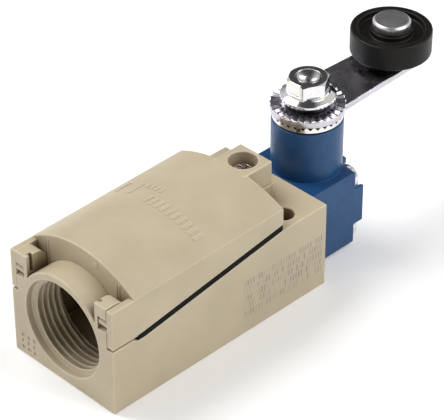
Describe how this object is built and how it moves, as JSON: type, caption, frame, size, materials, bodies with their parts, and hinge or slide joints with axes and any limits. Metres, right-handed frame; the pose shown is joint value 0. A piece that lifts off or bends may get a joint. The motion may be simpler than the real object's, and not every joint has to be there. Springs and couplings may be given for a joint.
{
  "type": "limit switch",
  "caption": "Limit switch with a side roller lever on a blue head, a domed hinged cover with a captive screw, and a threaded conduit entry.",
  "frame": {"origin": "centre of the case's flat mounting face", "axes": "+Y from the conduit entry towards the head and the lever, +Z out of the domed cover, +X across the width"},
  "size_m": [0.029, 0.1014, 0.0425],
  "materials": {
    "case_plastic": "fine moulded satin, warm beige",
    "blue_paint": "satin blue powder coat on a die casting",
    "black_rubber": "matt black",
    "black_nylon": "turned black nylon, satin",
    "bright_zinc": "bright zinc plate",
    "plated_steel": "smooth plated sheet",
    "polished_steel": "polished",
    "spring_steel": "drawn wire",
    "dark_steel": "blackened",
    "brass": "satin",
    "bronze": "sintered, matt",
    "dark_phenolic": "moulded, satin",
    "ivory_nylon": "moulded, satin"
  },
  "bodies": {
    "base": {"case": "case_plastic", "cover_gasket": "black_rubber", "cover_screw_insert": "brass", "head_housing": "blue_paint", "head_gasket": "black_rubber", "head_screw_1": "bright_zinc", "head_screw_2": "bright_zinc", "head_screw_3": "bright_zinc", "head_screw_4": "bright_zinc", "shaft_bushing": "bronze", "shaft_seal": "black_rubber", "plunger_guide": "brass", "plunger_spring": "spring_steel", "switch_base": "dark_phenolic", "switch_lid": "ivory_nylon", "contact_spring": "spring_steel", "terminal_nc_1": "brass", "terminal_nc_2": "brass", "terminal_no_1": "brass", "terminal_no_2": "brass", "terminal_screw_1": "bright_zinc", "terminal_screw_2": "bright_zinc", "terminal_screw_3": "bright_zinc", "terminal_screw_4": "bright_zinc", "switch_screw_1": "bright_zinc", "switch_screw_2": "bright_zinc"},
    "cover": {"cover": "case_plastic"},
    "cover_screw": {"cover_screw": "bright_zinc"},
    "lever": {"actuator_shaft": "polished_steel", "cam": "polished_steel", "cam_pin": "bright_zinc", "shaft_retaining_ring": "spring_steel", "serrated_hub": "bright_zinc", "lever_arm": "plated_steel", "lock_washer": "dark_steel", "flange_nut": "bright_zinc", "roller_pin": "polished_steel", "roller_spacer": "polished_steel"},
    "roller": {"roller": "black_nylon"},
    "plunger": {"plunger": "polished_steel"},
    "switch_button": {"switch_button": "dark_phenolic", "contact_bridge": "brass"}
  },
  "joints": [
    {"name": "lever_turn", "type": "hinge", "parent": "base", "child": "lever", "pos_m": [0, 0.03855, 0.033], "axis": [0, 0, 1], "range_deg": [-75, 75], "stiffness_Nm_per_rad": 0.06},
    {"name": "roller_spin", "type": "hinge", "parent": "lever", "child": "roller", "pos_m": [0, 0.06355, 0.0378], "axis": [0, 0, 1], "continuous": true},
    {"name": "plunger_slide", "type": "slide", "parent": "base", "child": "plunger", "axis": [0, -1, 0], "range_m": [0, 0.0016], "stiffness_N_per_m": 200, "deforming": ["plunger_spring"]},
    {"name": "switch_button_slide", "type": "slide", "parent": "base", "child": "switch_button", "axis": [0, -1, 0], "range_m": [0, 0.0016], "deforming": ["contact_spring"]},
    {"name": "cover_hinge", "type": "hinge", "parent": "base", "child": "cover", "pos_m": [0, -0.02815, 0.0209], "axis": [1, 0, 0], "range_deg": [0, 95]},
    {"name": "cover_screw_lift", "type": "slide", "parent": "cover", "child": "cover_screw", "axis": [0, 0, 1], "range_m": [0, 0.0042]}
  ],
  "couplings": [
    {"joint": "switch_button_slide", "follows": "plunger_slide", "ratio": 1}
  ]
}
